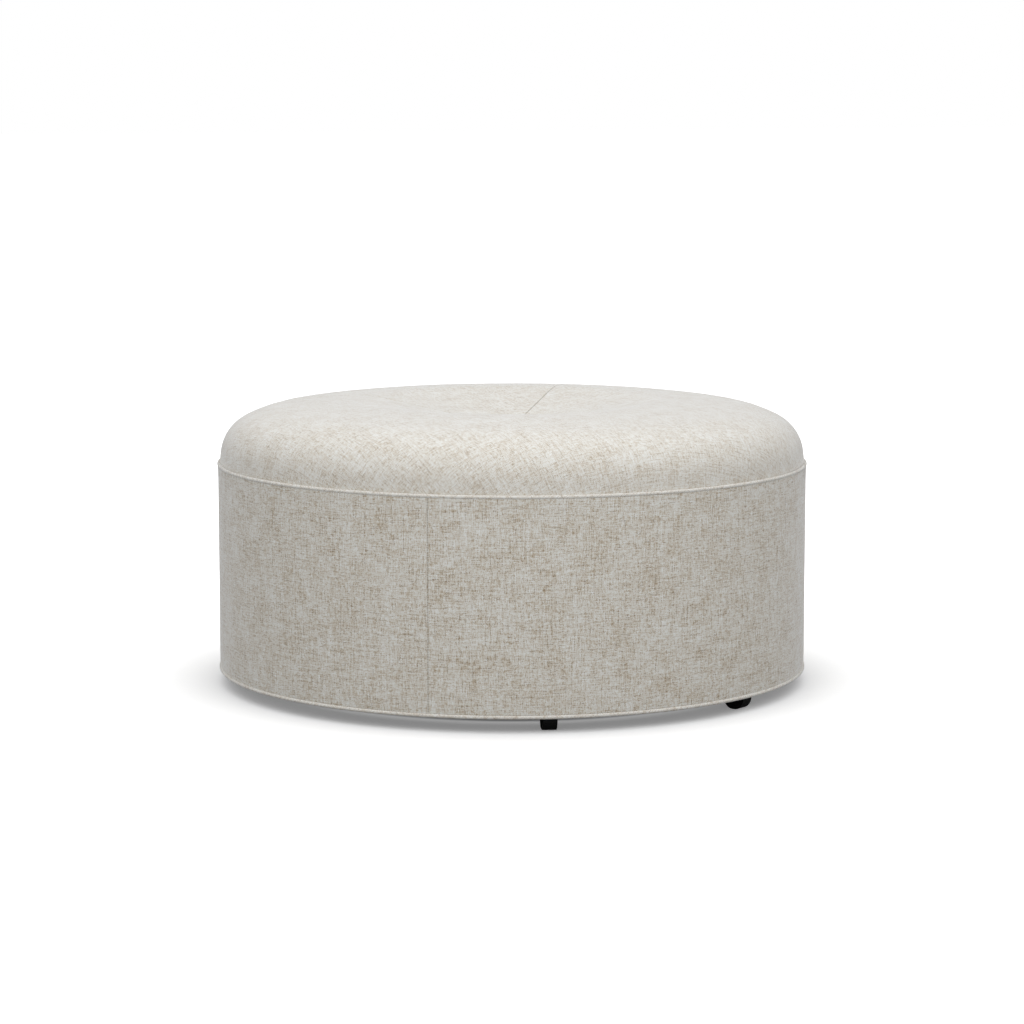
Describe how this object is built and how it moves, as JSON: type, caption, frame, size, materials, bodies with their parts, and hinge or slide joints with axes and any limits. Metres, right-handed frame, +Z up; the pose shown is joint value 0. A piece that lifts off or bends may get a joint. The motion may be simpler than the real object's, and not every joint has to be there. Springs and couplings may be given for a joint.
{
  "type": "round upholstered ottoman",
  "caption": "Round drum ottoman with a crowned, centre-dished tight top, corded top and bottom edges, a padded side over a ring frame, and low black glide feet.",
  "frame": {"origin": "on the floor, under the drum's axis", "axes": "+Z up; the front, midway between one pair of feet, faces -Y"},
  "size_m": [0.9164, 0.9164, 0.4375],
  "materials": {
    "cover_fabric": "matt slub weave in off-white with taupe and brown flecks",
    "plywood": "raw birch plywood",
    "lumber": "raw planed softwood",
    "hardboard": "smooth bare hardboard",
    "foam": "open cell foam",
    "wadding": "soft fibre wadding",
    "welt_filler": "twisted paper cord",
    "webbing": "woven jute",
    "deck_cloth": "plain sacking",
    "steel": "zinc plated",
    "twine": "waxed flax twine",
    "dust_fabric": "black spun-bonded sheet",
    "foot_plastic": "matt moulded plastic"
  },
  "bodies": {
    "root": {"band_cover_left": "cover_fabric", "band_cover_right": "cover_fabric", "band_padding": "foam", "base_rail_left": "lumber", "base_rail_right": "lumber", "base_ring": "plywood", "bottom_welt_cord": "welt_filler", "bottom_welt_cover": "cover_fabric", "button_back": "steel", "crown_wadding": "wadding", "deck_cloth": "deck_cloth", "deck_ring": "plywood", "dust_cover": "dust_fabric", "dust_cover_staples": "steel", "foot_1": "foot_plastic", "foot_2": "foot_plastic", "foot_3": "foot_plastic", "foot_4": "foot_plastic", "foot_screws": "steel", "frame_screws": "steel", "rail_screws": "steel", "seat_foam": "foam", "side_wrap": "hardboard", "top_cover_main": "cover_fabric", "top_cover_quarter": "cover_fabric", "top_welt_cord": "welt_filler", "top_welt_cover": "cover_fabric", "tuft_button": "cover_fabric", "tuft_twine": "twine", "twine_toggle": "lumber", "upright_1": "lumber", "upright_2": "lumber", "upright_3": "lumber", "upright_4": "lumber", "upright_5": "lumber", "upright_6": "lumber", "upright_7": "lumber", "upright_8": "lumber", "webbing_lower": "webbing", "webbing_staples": "steel", "webbing_upper": "webbing"}
  },
  "joints": []
}
